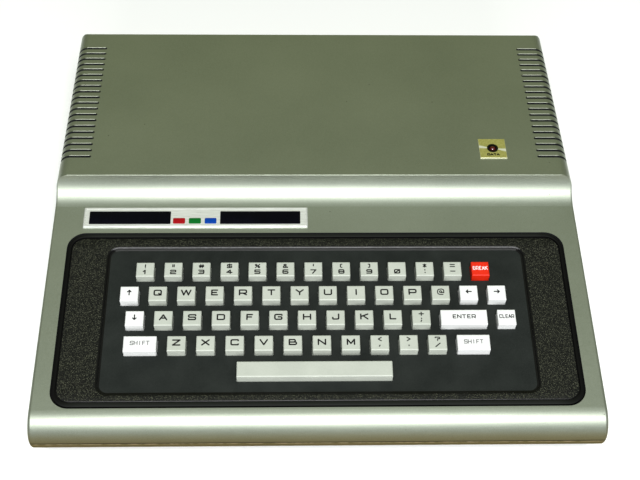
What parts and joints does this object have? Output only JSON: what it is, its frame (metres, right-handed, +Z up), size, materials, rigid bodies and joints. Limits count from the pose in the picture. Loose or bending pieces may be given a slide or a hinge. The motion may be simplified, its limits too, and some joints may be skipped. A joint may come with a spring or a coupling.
{
  "type": "videotex terminal",
  "caption": "Desk terminal with a full keyboard of square keys on a sloping deck, a raised vented rear deck, a call lamp and rear power, aerial and telephone connectors.",
  "frame": {"origin": "centre of the footprint on the table, at the underside of the rubber feet", "axes": "+X to the user's right, +Y from the user to the rear, +Z up"},
  "size_m": [0.368, 0.344, 0.0911],
  "materials": {
    "case_paint": "satin metallic grey paint over moulded plastic",
    "grained_black": "coarse grained black with a smooth rim",
    "panel_black": "smooth satin black",
    "key_grey": "satin warm grey",
    "key_white": "satin off-white",
    "key_red": "satin red",
    "grey_rubber": "moulded silicone",
    "circuit_board": "green solder mask",
    "ribbon_grey": "ribbed flat cable",
    "badge_metal": "bright bevels and black enamel panels",
    "lamp_brass": "brushed",
    "lamp_red": "clear dark red dome",
    "black_plastic": "moulded black",
    "chip_black": "matt resin",
    "tin_plate": "dull tin plate",
    "transformer_steel": "lacquered steel and wrapped winding",
    "capacitor_sleeve": "shrunk sleeve",
    "sink_aluminium": "extruded",
    "coil_tape": "taped winding",
    "black_rubber": "moulded rubber",
    "screw_steel": "zinc plated"
  },
  "bodies": {
    "chassis": {"upper_case": "case_paint", "lower_case": "case_paint", "keyboard_bezel": "grained_black", "keyboard_panel": "panel_black", "dome_sheet": "grey_rubber", "keyboard_board": "circuit_board", "ribbon_cable": "ribbon_grey", "badge_plate": "badge_metal", "lamp_plate": "lamp_brass", "lamp_clip": "black_plastic", "data_lamp": "lamp_red", "main_board": "circuit_board", "logic_chips": "chip_black", "shield_can": "tin_plate", "rf_modulator": "tin_plate", "power_switch": "black_plastic", "transformer": "transformer_steel", "filter_capacitor": "capacitor_sleeve", "heat_sink": "sink_aluminium", "line_transformer": "coil_tape", "phone_jack": "black_plastic", "cord_gland": "black_plastic", "rubber_feet": "black_rubber", "screws": "screw_steel"},
    "digit_keys": {"digit_keys": "key_grey"},
    "sign_keys": {"sign_keys": "key_grey"},
    "arrow_keys": {"arrow_keys": "key_white"},
    "shift_keys": {"shift_keys": "key_white"},
    "break_key": {"break_key": "key_red"},
    "enter_key": {"enter_key": "key_white"},
    "clear_key": {"clear_key": "key_white"},
    "space_bar": {"space_bar": "key_grey"},
    "key_q": {"key_q": "key_grey"},
    "key_w": {"key_w": "key_grey"},
    "key_e": {"key_e": "key_grey"},
    "key_r": {"key_r": "key_grey"},
    "key_t": {"key_t": "key_grey"},
    "key_y": {"key_y": "key_grey"},
    "key_u": {"key_u": "key_grey"},
    "key_i": {"key_i": "key_grey"},
    "key_o": {"key_o": "key_grey"},
    "key_p": {"key_p": "key_grey"},
    "key_a": {"key_a": "key_grey"},
    "key_s": {"key_s": "key_grey"},
    "key_d": {"key_d": "key_grey"},
    "key_f": {"key_f": "key_grey"},
    "key_g": {"key_g": "key_grey"},
    "key_h": {"key_h": "key_grey"},
    "key_j": {"key_j": "key_grey"},
    "key_k": {"key_k": "key_grey"},
    "key_l": {"key_l": "key_grey"},
    "key_z": {"key_z": "key_grey"},
    "key_x": {"key_x": "key_grey"},
    "key_c": {"key_c": "key_grey"},
    "key_v": {"key_v": "key_grey"},
    "key_b": {"key_b": "key_grey"},
    "key_n": {"key_n": "key_grey"},
    "key_m": {"key_m": "key_grey"},
    "power_button": {"power_button": "black_plastic"},
    "channel_slider": {"channel_slider": "black_plastic"}
  },
  "joints": [
    {"name": "digit_keys_press", "type": "slide", "parent": "chassis", "child": "digit_keys", "axis": [0, 0.1305, -0.9914], "range_m": [0, 0.003], "stiffness_N_per_m": 170, "springref_m": -0.0025, "deforming": ["dome_sheet"]},
    {"name": "sign_keys_press", "type": "slide", "parent": "chassis", "child": "sign_keys", "axis": [0, 0.1305, -0.9914], "range_m": [0, 0.003], "stiffness_N_per_m": 170, "springref_m": -0.0025, "deforming": ["dome_sheet"]},
    {"name": "arrow_keys_press", "type": "slide", "parent": "chassis", "child": "arrow_keys", "axis": [0, 0.1305, -0.9914], "range_m": [0, 0.003], "stiffness_N_per_m": 170, "springref_m": -0.0025, "deforming": ["dome_sheet"]},
    {"name": "shift_keys_press", "type": "slide", "parent": "chassis", "child": "shift_keys", "axis": [0, 0.1305, -0.9914], "range_m": [0, 0.003], "stiffness_N_per_m": 170, "springref_m": -0.0025, "deforming": ["dome_sheet"]},
    {"name": "break_key_press", "type": "slide", "parent": "chassis", "child": "break_key", "axis": [0, 0.1305, -0.9914], "range_m": [0, 0.003], "stiffness_N_per_m": 170, "springref_m": -0.0025, "deforming": ["dome_sheet"]},
    {"name": "enter_key_press", "type": "slide", "parent": "chassis", "child": "enter_key", "axis": [0, 0.1305, -0.9914], "range_m": [0, 0.003], "stiffness_N_per_m": 170, "springref_m": -0.0025, "deforming": ["dome_sheet"]},
    {"name": "clear_key_press", "type": "slide", "parent": "chassis", "child": "clear_key", "axis": [0, 0.1305, -0.9914], "range_m": [0, 0.003], "stiffness_N_per_m": 170, "springref_m": -0.0025, "deforming": ["dome_sheet"]},
    {"name": "space_bar_press", "type": "slide", "parent": "chassis", "child": "space_bar", "axis": [0, 0.1305, -0.9914], "range_m": [0, 0.003], "stiffness_N_per_m": 170, "springref_m": -0.0025, "deforming": ["dome_sheet"]},
    {"name": "key_q_press", "type": "slide", "parent": "chassis", "child": "key_q", "axis": [0, 0.1305, -0.9914], "range_m": [0, 0.003], "stiffness_N_per_m": 170, "springref_m": -0.0025, "deforming": ["dome_sheet"]},
    {"name": "key_w_press", "type": "slide", "parent": "chassis", "child": "key_w", "axis": [0, 0.1305, -0.9914], "range_m": [0, 0.003], "stiffness_N_per_m": 170, "springref_m": -0.0025, "deforming": ["dome_sheet"]},
    {"name": "key_e_press", "type": "slide", "parent": "chassis", "child": "key_e", "axis": [0, 0.1305, -0.9914], "range_m": [0, 0.003], "stiffness_N_per_m": 170, "springref_m": -0.0025, "deforming": ["dome_sheet"]},
    {"name": "key_r_press", "type": "slide", "parent": "chassis", "child": "key_r", "axis": [0, 0.1305, -0.9914], "range_m": [0, 0.003], "stiffness_N_per_m": 170, "springref_m": -0.0025, "deforming": ["dome_sheet"]},
    {"name": "key_t_press", "type": "slide", "parent": "chassis", "child": "key_t", "axis": [0, 0.1305, -0.9914], "range_m": [0, 0.003], "stiffness_N_per_m": 170, "springref_m": -0.0025, "deforming": ["dome_sheet"]},
    {"name": "key_y_press", "type": "slide", "parent": "chassis", "child": "key_y", "axis": [0, 0.1305, -0.9914], "range_m": [0, 0.003], "stiffness_N_per_m": 170, "springref_m": -0.0025, "deforming": ["dome_sheet"]},
    {"name": "key_u_press", "type": "slide", "parent": "chassis", "child": "key_u", "axis": [0, 0.1305, -0.9914], "range_m": [0, 0.003], "stiffness_N_per_m": 170, "springref_m": -0.0025, "deforming": ["dome_sheet"]},
    {"name": "key_i_press", "type": "slide", "parent": "chassis", "child": "key_i", "axis": [0, 0.1305, -0.9914], "range_m": [0, 0.003], "stiffness_N_per_m": 170, "springref_m": -0.0025, "deforming": ["dome_sheet"]},
    {"name": "key_o_press", "type": "slide", "parent": "chassis", "child": "key_o", "axis": [0, 0.1305, -0.9914], "range_m": [0, 0.003], "stiffness_N_per_m": 170, "springref_m": -0.0025, "deforming": ["dome_sheet"]},
    {"name": "key_p_press", "type": "slide", "parent": "chassis", "child": "key_p", "axis": [0, 0.1305, -0.9914], "range_m": [0, 0.003], "stiffness_N_per_m": 170, "springref_m": -0.0025, "deforming": ["dome_sheet"]},
    {"name": "key_a_press", "type": "slide", "parent": "chassis", "child": "key_a", "axis": [0, 0.1305, -0.9914], "range_m": [0, 0.003], "stiffness_N_per_m": 170, "springref_m": -0.0025, "deforming": ["dome_sheet"]},
    {"name": "key_s_press", "type": "slide", "parent": "chassis", "child": "key_s", "axis": [0, 0.1305, -0.9914], "range_m": [0, 0.003], "stiffness_N_per_m": 170, "springref_m": -0.0025, "deforming": ["dome_sheet"]},
    {"name": "key_d_press", "type": "slide", "parent": "chassis", "child": "key_d", "axis": [0, 0.1305, -0.9914], "range_m": [0, 0.003], "stiffness_N_per_m": 170, "springref_m": -0.0025, "deforming": ["dome_sheet"]},
    {"name": "key_f_press", "type": "slide", "parent": "chassis", "child": "key_f", "axis": [0, 0.1305, -0.9914], "range_m": [0, 0.003], "stiffness_N_per_m": 170, "springref_m": -0.0025, "deforming": ["dome_sheet"]},
    {"name": "key_g_press", "type": "slide", "parent": "chassis", "child": "key_g", "axis": [0, 0.1305, -0.9914], "range_m": [0, 0.003], "stiffness_N_per_m": 170, "springref_m": -0.0025, "deforming": ["dome_sheet"]},
    {"name": "key_h_press", "type": "slide", "parent": "chassis", "child": "key_h", "axis": [0, 0.1305, -0.9914], "range_m": [0, 0.003], "stiffness_N_per_m": 170, "springref_m": -0.0025, "deforming": ["dome_sheet"]},
    {"name": "key_j_press", "type": "slide", "parent": "chassis", "child": "key_j", "axis": [0, 0.1305, -0.9914], "range_m": [0, 0.003], "stiffness_N_per_m": 170, "springref_m": -0.0025, "deforming": ["dome_sheet"]},
    {"name": "key_k_press", "type": "slide", "parent": "chassis", "child": "key_k", "axis": [0, 0.1305, -0.9914], "range_m": [0, 0.003], "stiffness_N_per_m": 170, "springref_m": -0.0025, "deforming": ["dome_sheet"]},
    {"name": "key_l_press", "type": "slide", "parent": "chassis", "child": "key_l", "axis": [0, 0.1305, -0.9914], "range_m": [0, 0.003], "stiffness_N_per_m": 170, "springref_m": -0.0025, "deforming": ["dome_sheet"]},
    {"name": "key_z_press", "type": "slide", "parent": "chassis", "child": "key_z", "axis": [0, 0.1305, -0.9914], "range_m": [0, 0.003], "stiffness_N_per_m": 170, "springref_m": -0.0025, "deforming": ["dome_sheet"]},
    {"name": "key_x_press", "type": "slide", "parent": "chassis", "child": "key_x", "axis": [0, 0.1305, -0.9914], "range_m": [0, 0.003], "stiffness_N_per_m": 170, "springref_m": -0.0025, "deforming": ["dome_sheet"]},
    {"name": "key_c_press", "type": "slide", "parent": "chassis", "child": "key_c", "axis": [0, 0.1305, -0.9914], "range_m": [0, 0.003], "stiffness_N_per_m": 170, "springref_m": -0.0025, "deforming": ["dome_sheet"]},
    {"name": "key_v_press", "type": "slide", "parent": "chassis", "child": "key_v", "axis": [0, 0.1305, -0.9914], "range_m": [0, 0.003], "stiffness_N_per_m": 170, "springref_m": -0.0025, "deforming": ["dome_sheet"]},
    {"name": "key_b_press", "type": "slide", "parent": "chassis", "child": "key_b", "axis": [0, 0.1305, -0.9914], "range_m": [0, 0.003], "stiffness_N_per_m": 170, "springref_m": -0.0025, "deforming": ["dome_sheet"]},
    {"name": "key_n_press", "type": "slide", "parent": "chassis", "child": "key_n", "axis": [0, 0.1305, -0.9914], "range_m": [0, 0.003], "stiffness_N_per_m": 170, "springref_m": -0.0025, "deforming": ["dome_sheet"]},
    {"name": "key_m_press", "type": "slide", "parent": "chassis", "child": "key_m", "axis": [0, 0.1305, -0.9914], "range_m": [0, 0.003], "stiffness_N_per_m": 170, "springref_m": -0.0025, "deforming": ["dome_sheet"]},
    {"name": "power_button_press", "type": "slide", "parent": "chassis", "child": "power_button", "axis": [0, -1, 0], "range_m": [0, 0.004], "stiffness_N_per_m": 500, "springref_m": -0.002},
    {"name": "channel_slider_slide", "type": "slide", "parent": "chassis", "child": "channel_slider", "axis": [1, 0, 0], "range_m": [0, 0.004]}
  ]
}
